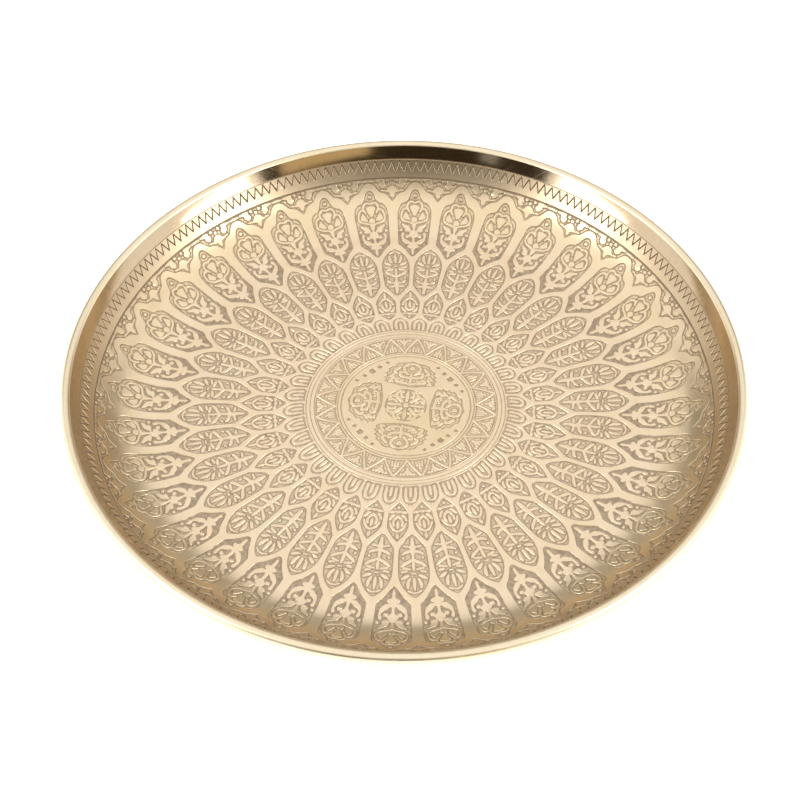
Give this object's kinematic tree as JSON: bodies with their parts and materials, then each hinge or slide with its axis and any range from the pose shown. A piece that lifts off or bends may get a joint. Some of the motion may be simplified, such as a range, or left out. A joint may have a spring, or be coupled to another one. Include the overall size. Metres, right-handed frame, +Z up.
{
  "type": "serving tray",
  "caption": "Round dished brass serving tray with a flat base, a sloping wall and a rolled, wired edge.",
  "frame": {"origin": "centre of the underside of the flat base, on the surface the tray stands on", "axes": "+Z up out of the dish along its axis; the tray is round, so X and Y are any two square directions"},
  "size_m": [0.4, 0.4, 0.0404],
  "materials": {
    "tray_brass": "satin, chased, darkened in the recesses",
    "wire_brass": "drawn wire, unpolished"
  },
  "bodies": {
    "root": {"tray_body": "tray_brass", "rim_wire": "wire_brass"}
  },
  "joints": []
}
